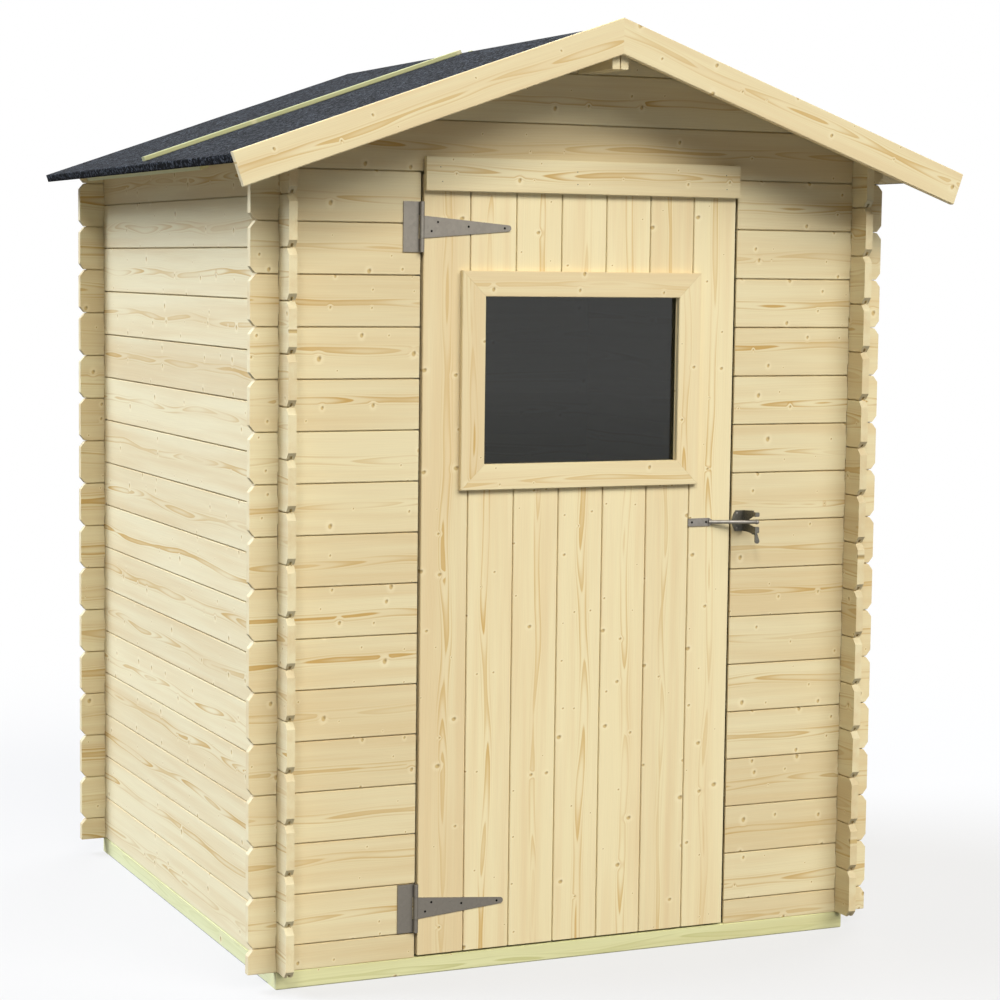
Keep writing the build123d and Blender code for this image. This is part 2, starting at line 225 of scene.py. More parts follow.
class Timber:
    """One piece of the scene: all its boards as one mesh."""

    def __init__(self, name):
        self.name = name
        self.points = []
        self.faces = []
        self.grain = []
        self.tone = []
        self.end_grain = []

    def board(self, outline, start, end, matrix, cut, ease=board_ease, eased="all", segments=2):
        """Adds a board: an outline in u and v, carried from start to end in w.

        eased says which of its edges along the grain are eased: those round the start, the end or both
        faces, none, or all.
        """
        if narrow_side(outline) < thinnest_board:
            return
        solid = bmesh.new()
        near = [solid.verts.new((u, v, start)) for u, v in outline]
        far = [solid.verts.new((u, v, end)) for u, v in outline]
        solid.faces.new(near)
        solid.faces.new(far)
        join_rings(solid, near, far)
        edges = [edge for edge in solid.edges if runs_along(edge, cut["axes"][0])]
        rims = {"start": [set(near)], "end": [set(far)], "faces": [set(near), set(far)], "none": []}
        if eased in rims:
            edges = [edge for edge in edges if any(set(edge.verts) <= rim for rim in rims[eased])]
        if edges:
            bmesh.ops.bevel(solid, geom=edges, offset=ease, segments=segments, affect="EDGES",
                            clamp_overlap=True)
        bmesh.ops.recalc_face_normals(solid, faces=solid.faces)
        if matrix.determinant() < 0:
            bmesh.ops.reverse_faces(solid, faces=solid.faces)
        self.take(solid, matrix, cut)
        solid.free()

    def take(self, solid, matrix, cut):
        """Takes over a board's points and faces, and what its wood is like at each."""
        first = len(self.points)
        solid.verts.index_update()
        for vert in solid.verts:
            self.points.append(matrix @ vert.co)
            self.grain.extend(vert.co[axis] + shift for axis, shift in zip(cut["axes"], cut["shift"]))
        for face in solid.faces:
            self.faces.append([first + vert.index for vert in face.verts])
            self.tone.append(cut["tone"])
            self.end_grain.append(abs(face.normal[cut["axes"][0]]))

    def build(self, material, body, slot, *nodes):
        """Makes the mesh, lets it ride on its body and stand for its CAD nodes."""
        mesh = bpy.data.meshes.new(self.name)
        mesh.from_pydata(self.points, [], self.faces)
        mesh.attributes.new("grain", "FLOAT_VECTOR", "POINT").data.foreach_set("vector", self.grain)
        mesh.attributes.new("tone", "FLOAT", "FACE").data.foreach_set("value", self.tone)
        mesh.attributes.new("end_grain", "FLOAT", "FACE").data.foreach_set("value", self.end_grain)
        mesh.materials.append(material)
        piece = link_new(self.name, mesh)
        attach(piece, body)
        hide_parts(*nodes)


# Walls

def board_outline(u0, u1, z0, z1, raised_low, raised_high):
    """One layer of a wall board between two joints: chamfered ends and notches for the crossing walls.

    raised_low and raised_high lift its lower and upper edge, for the groove and the tongue.
    """
    end = u0 - board_end
    column0 = u0 - notch_play
    column1 = u0 + board_thickness + notch_play
    bottom = z0 + raised_low
    top = z1 + raised_high
    low_corner = end + end_chamfer_depth * (1 - raised_low / end_chamfer_height)
    high_corner = end + end_chamfer_depth * (1 + raised_high / end_chamfer_height)
    shoulder = [(high_corner, top)]
    if raised_high > 0:
        chamfer_end = end + end_chamfer_depth
        tongue_start = chamfer_end + tongue_setback
        shoulder = [(chamfer_end, z1), (tongue_start, z1), (tongue_start, top)]
    left = [
        (column1, bottom), (column1, z0 + notch_height), (column0, z0 + notch_height), (column0, bottom),
        (low_corner, bottom), (end, z0 + end_chamfer_height), (end, z1 - end_chamfer_height),
    ]
    left += shoulder
    left += [(column0, top), (column0, z1 - notch_height), (column1, z1 - notch_height), (column1, top)]
    right = [(u0 + u1 - u, z) for u, z in reversed(left)]
    return left + right


def wall_layers():
    """Depth from, depth to, lift of the lower edge, lift of the upper edge, and which rim is eased."""
    half_gap = joint_gap / 2
    return [
        (0, face_layer, half_gap, -half_gap, "start"),
        (face_layer, tongue_end, groove_depth, tongue_height, "none"),
        (tongue_end, board_thickness, half_gap, -half_gap, "end"),
    ]


def wall_boards(timber, matrix, u0, u1, joints, groups, slope_top=None, core_groups=None):
    """All boards of a wall that stand on these joints, cut by groups of limits: lists of (normal, limit).

    slope_top is where a roof slope meets the wall's face. core_groups cut the layers behind the face
    layer, where they differ from it.
    """
    for joint in joints:
        cut = sawn(0, 1, 2, joint + course / 2)
        for start, end, raised_low, raised_high, eased in wall_layers():
            outline = board_outline(u0, u1, joint, joint + course, raised_low, raised_high)
            outline = clip(outline, (0, -1), -base_top)
            if slope_top is not None:
                outline = clip(outline, (0, 1), slope_top + start * math.tan(roof_pitch))
            for group in core_groups if core_groups and start > 0 else groups:
                part = outline
                for normal, limit in group:
                    part = clip(part, normal, limit)
                timber.board(part, start, end, matrix, cut, eased=eased)


def joints_between(first_joint, lowest, highest):
    """The joints that a wall's boards stand on, from lowest up to but not at highest."""
    slack = course / 10
    joints = []
    joint = base_top + first_joint
    while joint < highest - slack:
        if joint > lowest - slack:
            joints.append(joint)
        joint += course
    return joints


def side_wall(side, name, node):
    timber = Timber(name)
    matrix = place((side * half_width, 0, 0), (0, 1, 0), (0, 0, 1), (-side, 0, 0))
    eave = ridge_under - half_width * math.tan(roof_pitch)
    joints = joints_between(0, base_top, eave)
    wall_boards(timber, matrix, y_front, y_back, joints, [[]], slope_top=eave)
    timber.build(spruce, "shed", "spruce", node)


def roof_limits():
    """The two slopes of the roof, as limits on an end wall's boards."""
    rise = math.tan(roof_pitch)
    return [((rise, 1), ridge_under), ((-rise, 1), ridge_under)]


def end_wall_groups():
    """An end wall is whole up to the ridge planks' seat, and split by their notch above it."""
    return [
        roof_limits() + [((0, 1), ridge_plank_seat)],
        roof_limits() + [((0, -1), -ridge_plank_seat), ((1, 0), -ridge_notch)],
        roof_limits() + [((0, -1), -ridge_plank_seat), ((-1, 0), -ridge_notch)],
    ]


def front_wall_part(name, node, lowest, highest, normal, limit, undercut=0.0):
    """Part of the front wall: one side of the doorway, or the gable. The core stops short by undercut."""
    timber = Timber(name)
    matrix = front_place(y_front)
    groups = [group + [(normal, limit)] for group in end_wall_groups()]
    core_groups = [group + [(normal, limit - undercut)] for group in end_wall_groups()]
    joints = joints_between(-course / 2, lowest, highest)
    wall_boards(timber, matrix, -half_width, half_width, joints, groups, core_groups=core_groups)
    timber.build(spruce, "shed", "spruce", node)


def back_wall():
    timber = Timber("back_wall_boards")
    matrix = place((0, y_back, 0), (1, 0, 0), (0, 0, 1), (0, -1, 0))
    joints = joints_between(-course / 2, base_top - course, ridge_under)
    wall_boards(timber, matrix, -half_width, half_width, joints, end_wall_groups())
    timber.build(spruce, "shed", "spruce", "back_wall")


def walls():
    side_wall(-1, "left_wall_boards", "left_wall")
    side_wall(1, "right_wall_boards", "right_wall")
    lowest = base_top - course
    front_wall_part("front_left_boards", "front_wall_left", lowest, doorway_top,
                    (1, 0), doorway_left, doorway_undercut)
    front_wall_part("front_right_boards", "front_wall_right", lowest, doorway_top,
                    (-1, 0), -doorway_right, doorway_undercut)
    front_wall_part("gable_boards", "front_gable", doorway_top, ridge_under, (0, -1), -doorway_top)
    back_wall()


def beam(name):
    """A flat base beam of pressure-treated softwood."""
    lowest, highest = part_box(name)
    timber = Timber(name.replace("base_beam", "base_sleeper"))
    lengthwise_x = highest.x - lowest.x > highest.y - lowest.y
    matrix = place((0, 0, 0), (1, 0, 0), (0, 1, 0), (0, 0, 1))
    middle = (lowest.z + highest.z) / 2
    cut = sawn(0, 2, 1, middle, lowest.y) if lengthwise_x else sawn(1, 2, 0, middle, lowest.x)
    outline = rectangle(lowest.x, highest.x, lowest.y, highest.y)
    timber.board(outline, lowest.z, highest.z, matrix, cut, ease=beam_ease)
    timber.build(treated_softwood, "shed", "treated_softwood", name)


def base():
    for side in ("front", "back", "left", "right"):
        beam("base_beam_" + side)


# Roof

def slope_place(side):
    """u down the slope from the ridge, v square to it and upwards, w from front to back."""
    down = (side * math.cos(roof_pitch), 0, -math.sin(roof_pitch))
    up = (side * math.sin(roof_pitch), 0, math.cos(roof_pitch))
    return place((0, 0, ridge_under), down, up, (0, 1, 0))


def layer_outline(bottom, top, length):
    """A layer of the roof in section, with its plumb cut at the ridge."""
    rise = math.tan(roof_pitch)
    return [(-bottom * rise, bottom), (length, bottom), (length, top), (-top * rise, top)]


def roof_boards(side, word):
    timber = Timber("roof_boards_" + word)
    width = (deck_y1 - deck_y0) / roof_board_count
    outline = layer_outline(0, deck_thickness, deck_length)
    for k in range(roof_board_count):
        start = deck_y0 + k * width
        cut = sawn(0, 2, 1, start + width / 2)
        timber.board(outline, start + joint_gap / 2, start + width - joint_gap / 2, slope_place(side), cut,
                     eased="faces", segments=1)
    timber.build(spruce, "shed", "spruce", "roof_deck_" + word)


def barge_board(side, word):
    node = "barge_board_" + word
    timber = Timber("barge_plank_" + word)
    top = felt_top + barge_rise
    bottom = top - barge_height
    outline = layer_outline(bottom, top, felt_end + barge_reach)
    cut = sawn(0, 1, 2, (top + bottom) / 2, low(node, "y"))
    timber.board(outline, low(node, "y"), high(node, "y"), slope_place(side), cut, ease=plank_ease)
    timber.build(door_spruce, "shed", "spruce", node)


def ridge_plank(side, word):
    node = "ridge_plank_" + word
    lowest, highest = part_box(node)
    timber = Timber("ridge_board_" + word)
    outline = rectangle(lowest.x, highest.x, lowest.z, ridge_under)
    outline = clip(outline, (side * math.tan(roof_pitch), 1), ridge_under)
    cut = sawn(2, 1, 0, (lowest.z + ridge_under) / 2, lowest.x)
    timber.board(outline, lowest.y, highest.y, front_place(), cut)
    timber.build(spruce, "shed", "spruce", node)


def slope_bar(node, name, outline, side, along, material):
    """A batten on or under a slope. along is 0 for grain down the slope, 2 for grain from front to back."""
    timber = Timber(name)
    bottom = outline[0][1]
    cut = sawn(along, 2 - along, 1, 0, bottom)
    timber.board(outline, low(node, "y"), high(node, "y"), slope_place(side), cut)
    timber.build(material, "shed", "treated_softwood", node)


def battens(side, word):
    lap_end = lap_batten_start + (felt_end - lap_batten_shorter)
    lap = rectangle(lap_batten_start, lap_end, felt_top, felt_top + batten_thickness)
    slope_bar("roof_batten_" + word, "lap_batten_" + word, lap, side, 0, treated_batten)
    strip_start = deck_length - eave_strip_inset
    strip = rectangle(strip_start, strip_start + eave_strip_width, -batten_thickness, 0)
    slope_bar("eave_batten_" + word, "eave_strip_" + word, strip, side, 2, treated_softwood)


def felt_section():
    """The felt in section: over the boards, round the eave's edge and down, then back inside.

    The last three points, inside, lie on the boards.
    """
    rise = math.tan(roof_pitch)
    steps = 44
    bend_steps = 4
    flat_end = felt_end - felt_bend
    section = [(-felt_top * rise + (flat_end + felt_top * rise) * k / steps, felt_top) for k in range(steps)]
    for k in range(bend_steps + 1):
        turn = math.radians(90 * k / bend_steps)
        u = flat_end + felt_bend * math.sin(turn)
        section.append((u, felt_top - felt_bend + felt_bend * math.cos(turn)))
    section += [(felt_end, 11 * MM), (felt_end, 5 * MM), (felt_end, 0)]
    section += [(deck_length, 0), (deck_length, deck_thickness), (-deck_thickness * rise, deck_thickness)]
    return section


def felt_points(side, section, rows):
    """The sheet's points, row by row from front to back, lifted here and there by a few crossing waves."""
    matrix = slope_place(side)
    ripple = random.Random(5 + side)
    waves = [(ripple.uniform(4, 22), ripple.uniform(3, 18), ripple.uniform(0, 6.3)) for _ in range(9)]
    loose = len(section) - 3
    points = []
    for row in range(rows + 1):
        w = deck_y0 + (deck_y1 - deck_y0) * row / rows
        for k, (u, v) in enumerate(section):
            swell = sum(math.sin(a * u + b * w + c) for a, b, c in waves) / len(waves)
            freedom = min(1.0, max(0.0, u / felt_pinned))
            lift = felt_swell * swell * freedom if k < loose else 0.0
            out = Vector((0, lift, 0)) if v > deck_thickness else Vector((0.7 * lift, 0, 0))
            points.append(matrix @ (Vector((u, v, w)) + out))
    return points


def felt_turned_down(solid, matrix):
    """The strip of felt turned down over the roof boards' back ends."""
    outline = layer_outline(0, felt_top, felt_end)
    near = [solid.verts.new(matrix @ Vector((u, v, deck_y1))) for u, v in outline]
    far = [solid.verts.new(matrix @ Vector((u, v, deck_y1 + felt_thickness))) for u, v in outline]
    ends = [solid.faces.new(near), solid.faces.new(far)]
    return set(ends + join_rings(solid, near, far))


def felt(side, word):
    """Sanded felt, laid by hand: a little uneven, and turned down at the eave and over the back edge."""
    section = felt_section()
    rows = 70
    count = len(section)
    faces = []
    for row in range(rows):
        for k in range(count):
            n = (k + 1) % count
            a = row * count
            b = a + count
            faces.append((a + k, a + n, b + n, b + k))
    faces.append(tuple(range(count)))
    faces.append(tuple(range(rows * count, (rows + 1) * count)))
    mesh = bpy.data.meshes.new("felt_sheet_" + word)
    mesh.from_pydata(felt_points(side, section, rows), [], faces)
    solid = bmesh.new()
    solid.from_mesh(mesh)
    turn_down = felt_turned_down(solid, slope_place(side))
    bmesh.ops.recalc_face_normals(solid, faces=solid.faces)
    for face in solid.faces:
        face.smooth = len(face.verts) == 4 and face not in turn_down
    solid.to_mesh(mesh)
    solid.free()
    mesh.materials.append(roofing_felt)
    piece = link_new(mesh.name, mesh)
    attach(piece, "shed")
    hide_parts("roof_felt_" + word)


def roof():
    for side, word in ((-1, "left"), (1, "right")):
        roof_boards(side, word)
        felt(side, word)
        battens(side, word)
        barge_board(side, word)
        ridge_plank(side, word)


# Door

def cut_for_window(x0, x1, grow):
    """The outlines of an upright door board after the window's opening, grown all round, is cut out of it."""
    hole_x0 = window_x0 - grow
    hole_x1 = window_x1 + grow
    hole_z0 = window_z0 - grow
    hole_z1 = window_z1 + grow
    if x1 <= hole_x0 or x0 >= hole_x1:
        return [rectangle(x0, x1, leaf_bottom, leaf_top)]
    if x0 >= hole_x0 and x1 <= hole_x1:
        return [rectangle(x0, x1, leaf_bottom, hole_z0), rectangle(x0, x1, hole_z1, leaf_top)]
    if x0 < hole_x0:
        return [[(x0, leaf_bottom), (x1, leaf_bottom), (x1, hole_z0), (hole_x0, hole_z0),
                 (hole_x0, hole_z1), (x1, hole_z1), (x1, leaf_top), (x0, leaf_top)]]
    return [[(x1, leaf_bottom), (x1, leaf_top), (x0, leaf_top), (x0, hole_z1),
             (hole_x1, hole_z1), (hole_x1, hole_z0), (x0, hole_z0), (x0, leaf_bottom)]]


def door_boards():
    """Upright boards with a groove on the left, a tongue on the right and the pane let in behind a lip."""
    timber = Timber("door_boards")
    width = (leaf_right - leaf_left) / door_board_count
    thickness = leaf_back - leaf_front
    for k in range(door_board_count):
        first = k == 0
        last = k == door_board_count - 1
        x0 = leaf_left + k * width
        x1 = x0 + width
        cut = sawn(1, 0, 2, (x0 + x1) / 2)
        left = x0 if first else x0 + joint_gap / 2
        front_right = x1 - (door_edge_play if last else joint_gap / 2)
        back_right = x1 if last else front_right
        core_left = x0 if first else x0 + door_groove
        core_right = x1 - door_edge_groove if last else x1 + door_tongue
        layers = [
            (0, glass_lip, left, front_right, 0, "start"),
            (glass_lip, door_core_start, left, front_right, glass_cover, "none"),
            (door_core_start, door_core_end, core_left, core_right, glass_cover, "none"),
            (door_core_end, thickness, left, back_right, glass_cover, "end"),
        ]
        for start, end, layer_left, layer_right, grow, eased in layers:
            for outline in cut_for_window(layer_left, layer_right, grow):
                timber.board(outline, start, end, front_place(leaf_front), cut, eased=eased)
    timber.build(door_spruce, "door", "spruce", "door_leaf")


def upright_board(node, name, material, along, ease=plank_ease, outline=None):
    """A plank on the door, upright in the door's plane. along is 0 for level grain and 1 for plumb grain."""
    lowest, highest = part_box(node)
    timber = Timber(name)
    outline = outline or rectangle(lowest.x, highest.x, lowest.z, highest.z)
    middle = (lowest.z + highest.z) / 2 if along == 0 else (lowest.x + highest.x) / 2
    cut = sawn(along, 1 - along, 2, middle, lowest.y)
    timber.board(outline, lowest.y, highest.y, front_place(), cut, ease=ease)
    timber.build(material, "door", "spruce", node)


def window_trims():
    """Four planks around the window, mitred at the corners."""
    gap = mitre_gap
    x0 = window_x0 - trim_width
    x1 = window_x1 + trim_width
    z0 = window_z0 - trim_width
    z1 = window_z1 + trim_width
    outlines = {
        "bottom": [(x0 + gap, z0), (x1 - gap, z0),
                   (window_x1 - gap, window_z0), (window_x0 + gap, window_z0)],
        "top": [(x0 + gap, z1), (x1 - gap, z1),
                (window_x1 - gap, window_z1), (window_x0 + gap, window_z1)],
        "left": [(x0, z0 + gap), (window_x0, window_z0 + gap),
                 (window_x0, window_z1 - gap), (x0, z1 - gap)],
        "right": [(x1, z0 + gap), (window_x1, window_z0 + gap),
                  (window_x1, window_z1 - gap), (x1, z1 - gap)],
    }
    for word, outline in outlines.items():
        along = 0 if word in ("bottom", "top") else 1
        upright_board("window_trim_" + word, "window_plank_" + word, door_spruce, along, board_ease, outline)


def window_beads():
    """Four slim beads that hold the pane from inside."""
    lowest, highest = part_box("window_bead")
    timber = Timber("glazing_beads")
    bars = [
        (0, (lowest.x, highest.x, lowest.z, window_z0)),
        (0, (lowest.x, highest.x, window_z1, highest.z)),
        (1, (lowest.x, window_x0, window_z0, window_z1)),
        (1, (window_x1, highest.x, window_z0, window_z1)),
    ]
    for along, corners in bars:
        cut = sawn(along, 1 - along, 2, 0, lowest.y)
        timber.board(rectangle(*corners), lowest.y, highest.y, front_place(), cut, ease=bead_ease)
    timber.build(door_spruce, "door", "spruce", "window_bead")


def brace():
    """The diagonal on the inside, from the lower hinge's ledge up to the latch's."""
    node = "door_brace"
    lowest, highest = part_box(node)
    outline = [
        (lowest.x, lowest.z), (lowest.x + brace_width, lowest.z),
        (highest.x, highest.z), (highest.x - brace_width, highest.z),
    ]
    timber = Timber("door_diagonal")
    cut = sawn(1, 0, 2, 0, lowest.y)
    timber.board(outline, lowest.y, highest.y, front_place(), cut, ease=plank_ease)
    timber.build(spruce, "door", "spruce", node)


def door():
    door_boards()
    # The head plank takes the darker wall spruce rather than the door's, for the roof's shadow across the
    # door's top: painted shade.
    upright_board("door_head_board", "head_plank", spruce, 0)
    for word in ("lower", "middle", "upper"):
        upright_board("door_ledge_" + word, "door_bar_" + word, spruce, 0)
    brace()
    window_trims()
    window_beads()


# Screws and nails

head_sides = 20
head_profile = ((1.0, 0.0), (1.0, 0.35), (0.86, 0.75), (0.5, 1.0))   # shares of the radius and the height
recess_width = 0.32             # share of the radius
recess_arms = (0, 1, 4)         # of every five points, those that lie in an arm of the cross


def head_ring(solid, centre, radius, heights):
    """A ring of points round a head's middle, each at its own height over the plane that it sits on."""
    ring = []
    for k, height in enumerate(heights):
        angle = k * math.tau / head_sides
        x = centre[0] + radius * math.cos(angle)
        z = centre[2] + radius * math.sin(angle)
        ring.append(solid.verts.new((x, centre[1] - height, z)))
    return ring


def round_head(solid, centre, radius, height, recess):
    """A domed screw or nail head on a plane that faces the front, with a cross recess where it has one."""
    rings = [head_ring(solid, centre, wide * radius, [up * height] * head_sides) for wide, up in head_profile]
    depths = [recess if k % 5 in recess_arms else 0.0 for k in range(head_sides)]
    rings.append(head_ring(solid, centre, recess_width * radius, [height - depth for depth in depths]))
    for lower, upper in zip(rings, rings[1:]):
        join_rings(solid, lower, upper)
    solid.faces.new(rings[-1])
    solid.faces.new(rings[0])


def heads(name, body, material, spots, radius, height, recess=0.0):
    """A piece of like screw or nail heads."""
    solid = bmesh.new()
    for spot in spots:
        round_head(solid, spot, radius, height, recess)
    bmesh.ops.recalc_face_normals(solid, faces=solid.faces)
    mesh = bpy.data.meshes.new(name)
    solid.to_mesh(mesh)
    solid.free()
    mesh.materials.append(material)
    piece = link_new(name, mesh)
    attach(piece, body)


def strap_screws():
    """Four screws through each hinge strap, set alternately above and below its middle."""
    spots = []
    barrel_x = doorway_left + 0.5 * MM
    strap_face = leaf_front - 2.5 * MM
    sunk = 0.4 * MM
    for word in ("lower", "upper"):
        lowest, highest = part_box("hinge_strap_" + word)
        middle = (lowest.z + highest.z) / 2
        for across, up in ((23, -9), (38, 11), (112, 2), (200, 0)):
            spots.append((barrel_x + across * MM, strap_face + sunk, middle + up * MM))
    heads("strap_screws", "door", black_steel, spots,
          radius=2.8 * MM, height=0.8 * MM, recess=0.4 * MM)


def strike_screws():
    """Two screws through the striker plate."""
    lowest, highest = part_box("latch_bar")
    middle = (lowest.z + highest.z) / 2
    plate_face = leaf_front - 2.6 * MM
    spots = [(lowest.x + inset, plate_face, middle) for inset in (9.5 * MM, 47 * MM)]
    heads("strike_screws", "door", black_steel, spots,
          radius=2.9 * MM, height=0.8 * MM, recess=0.5 * MM)


def catch_screws():
    """Two screws through the catch's plate."""
    lowest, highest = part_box("latch_catch")
    plate_face = y_front - 2.6 * MM
    inset = 12 * MM
    spots = [(lowest.x + inset, plate_face, highest.z - drop) for drop in (11 * MM, 46 * MM)]
    heads("catch_screws", "shed", bright_steel, spots,
          radius=2.6 * MM, height=1.4 * MM, recess=0.8 * MM)


def head_plank_nails():
    """Pairs of nails through the board across the door's top, driven by eye."""
    lowest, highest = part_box("door_head_board")
    sunk = 0.1 * MM
    spots = []
    for share in (0.045, 0.47, 0.955):
        for up in (0.3, 0.7):
            x = lowest.x + share * (highest.x - lowest.x) + chance.uniform(-3, 3) * MM
            z = lowest.z + up * (highest.z - lowest.z) + chance.uniform(-3, 3) * MM
            spots.append((x, lowest.y + sunk, z))
    heads("head_plank_nails", "door", dark_steel, spots, radius=1.3 * MM, height=0.3 * MM)


def fasteners():
    strap_screws()
    strike_screws()
    catch_screws()
    head_plank_nails()


# Shader nodes

MIX_A = 6
MIX_B = 7
MIX_RESULT = 2
WHITE = (1, 1, 1, 1)


def linear(hex_colour):
    """An sRGB hex colour as the linear colour that a socket takes."""
    parts = [int(hex_colour[k:k + 2], 16) / 255 for k in (1, 3, 5)]
    return [p / 12.92 if p <= 0.04045 else ((p + 0.055) / 1.055) ** 2.4 for p in parts] + [1.0]


def add(tree, kind, inputs=None, **settings):
    """Adds a shader node, with its settings, and sets or links its inputs."""
    node = tree.nodes.new("ShaderNode" + kind)
    for name, value in settings.items():
        setattr(node, name, value)
    for name, value in (inputs or {}).items():
        if isinstance(value, bpy.types.NodeSocket):
            tree.links.new(value, node.inputs[name])
        else:
            node.inputs[name].default_value = value
    return node


def maths(tree, operation, *values):
    """A sum, product or the like of numbers."""
    return add(tree, "Math", dict(enumerate(values)), operation=operation).outputs[0]


def vector(tree, operation, *values):
    """A sum, product or the like of vectors."""
    return add(tree, "VectorMath", dict(enumerate(values)), operation=operation).outputs[0]


def scaled(tree, value, factor):
    """A vector or a colour times a number."""
    return add(tree, "VectorMath", {0: value, "Scale": factor}, operation="SCALE").outputs[0]


def length_of(tree, value):
    """The length of a vector."""
    return add(tree, "VectorMath", {0: value}, operation="LENGTH").outputs["Value"]


def remap(tree, value, start, end, to_start=0.0, to_end=1.0, shape="LINEAR"):
    """Carries a value from one range to another and holds it beyond the ends."""
    inputs = {0: value, 1: start, 2: end, 3: to_start, 4: to_end}
    return add(tree, "MapRange", inputs, interpolation_type=shape).outputs[0]


def noise(tree, where, scale, detail):
    """Soft random patches, from 0 to 1."""
    return add(tree, "TexNoise", {"Vector": where, "Scale": scale, "Detail": detail}).outputs["Fac"]


def mix_colours(tree, share, first, second):
    """The first colour where share is 0, the second where it is 1."""
    inputs = {0: share, MIX_A: first, MIX_B: second}
    return add(tree, "Mix", inputs, data_type="RGBA").outputs[MIX_RESULT]


def mix_shaders(tree, share, first, second):
    """The first shader where share is 0, the second where it is 1."""
    return add(tree, "MixShader", {0: share, 1: first, 2: second}).outputs[0]


def new_material(name):
    """An empty material and its node tree."""
    material = bpy.data.materials.new(name)
    material.use_nodes = True
    tree = material.node_tree
    tree.nodes.clear()
    return material, tree


def surface(tree, height, strength, distance, inputs):
    """Gives a material its one shader, with a bump drawn from a height."""
    bump = add(tree, "Bump", {"Height": height, "Strength": strength, "Distance": distance}).outputs[0]
    shader = add(tree, "BsdfPrincipled", {**inputs, "Normal": bump})
    add(tree, "OutputMaterial", {"Surface": shader.outputs[0]})


# Wood

ring_width = 2.7 * MM
pith_wander = (0, 30 * MM, 13 * MM)
knot_cell = (112 * MM, 38 * MM)          # at most one knot in each cell of a board's face
knot_squash = 0.8                        # knots are a little wider across the grain than along it
knot_radius = (1.4 * MM, 5.6 * MM)

# Round a knot's middle or its side that is painted in shade, as if the knot stood out and were lit from the
# other side: tinted in full up to, not at all from, how strongly, the tint
knot_zones = (
    ("middle", 0.9, 3.0, 0.4, "#f1e6c4"),
    ("middle", 0.5, 1.2, 0.8, "#c4a766"),
    # painted shade: the dark crescent on one side of each knot
    ("dark", 0.1, 0.9, 0.65, "#80693c"),
)


def drawn_out(tree, grain, frequencies, detail):
    """Noise that is drawn out along the grain: its frequencies along, across and through the board."""
    return noise(tree, vector(tree, "MULTIPLY", grain, frequencies), 1.0, detail)


def knots(tree, grain, knot_share):
    """Pin knots and a few larger ones, in some of the cells.

    Gives 1 in a cell that has a knot and 0 in others, and the distances from the knot's middle and from
    a point on one side of it, where shade is painted as if the knot stood out, counted in the knot's radius.
    """
    to_cells = vector(tree, "MULTIPLY", grain, (1 / knot_cell[0], 1 / knot_cell[1], 0))
    cells = add(tree, "TexVoronoi", {"Vector": to_cells, "Scale": 1.0, "Randomness": 0.85},
                voronoi_dimensions="2D", feature="F1").outputs
    luck = add(tree, "SeparateColor", {0: cells["Color"]}).outputs
    size = maths(tree, "POWER", luck["Red"], 2.0)
    radius = remap(tree, size, 0.0, 1.0, *knot_radius)
    away = vector(tree, "SUBTRACT", to_cells, cells["Position"])
    away = vector(tree, "MULTIPLY", away, (knot_cell[0], knot_squash * knot_cell[1], 0))
    # painted shade: a point beside each knot, round which its shaded side is drawn
    painted_shade_offset = scaled(tree, (0.5, 0.45, 0), radius)
    from_painted_shade = length_of(tree, vector(tree, "SUBTRACT", away, painted_shade_offset))
    return {
        "present": maths(tree, "GREATER_THAN", luck["Green"], 1 - knot_share),
        "middle": maths(tree, "DIVIDE", length_of(tree, away), radius),
        "dark": maths(tree, "DIVIDE", from_painted_shade, radius),
    }


def late_wood(tree, grain, end_grain, knot, contrast):
    """How strongly the dark late wood of each ring shows.

    The pith wanders along the trunk, and each ring wavers a little and bends round the knots. Each has
    its own strength, and all of them are strongest where the face grazes them.
    """
    along = add(tree, "SeparateXYZ", {0: grain}).outputs["X"]
    wander = add(tree, "TexNoise", {"W": along, "Scale": 2.3, "Detail": 1.5, "Roughness": 0.4},
                 noise_dimensions="1D").outputs["Color"]
    wander = vector(tree, "SUBTRACT", wander, (0.5, 0.5, 0.5))
    from_pith = vector(tree, "MULTIPLY_ADD", wander, pith_wander, grain)
    distance = length_of(tree, vector(tree, "MULTIPLY", from_pith, (0, 1, 1)))
    waver = drawn_out(tree, grain, (5, 45, 45), 2.0)
    bend = remap(tree, knot["middle"], 0.0, 4.0, 0.9, 0.0, "SMOOTHERSTEP")
    bend = maths(tree, "MULTIPLY", bend, knot["present"])
    bend = maths(tree, "MULTIPLY_ADD", waver, 0.7, bend)
    count = maths(tree, "MULTIPLY_ADD", distance, 1 / ring_width, bend)
    growth = maths(tree, "FRACT", count)
    rise = remap(tree, growth, 0.2, 0.9, shape="SMOOTHSTEP")
    fall = remap(tree, growth, 0.9, 1.0, 1.0, 0.0, "SMOOTHSTEP")
    late = maths(tree, "MULTIPLY", rise, fall)

    ring_number = maths(tree, "FLOOR", count)
    own = add(tree, "TexWhiteNoise", {"W": ring_number}, noise_dimensions="1D").outputs["Value"]
    strength = remap(tree, own, 0.0, 1.0, 0.25, 1.15)
    square = add(tree, "SeparateXYZ", {0: from_pith}).outputs
    across = maths(tree, "ABSOLUTE", square["Y"])
    depth = maths(tree, "ABSOLUTE", square["Z"])
    grazing = maths(tree, "DIVIDE", across, depth)
    grazing = remap(tree, grazing, 0.25, 0.75, 1.0, 0.14, "SMOOTHSTEP")
    stretch = drawn_out(tree, grain, (1.6, 12, 9), 1.0)
    stretch = remap(tree, stretch, 0.35, 0.65, 0.35 * contrast, contrast)
    side_grain = remap(tree, end_grain, 0.0, 1.0, 1.0, 0.25)
    for factor in (grazing, stretch, late, side_grain):
        strength = maths(tree, "MULTIPLY", strength, factor)
    return strength


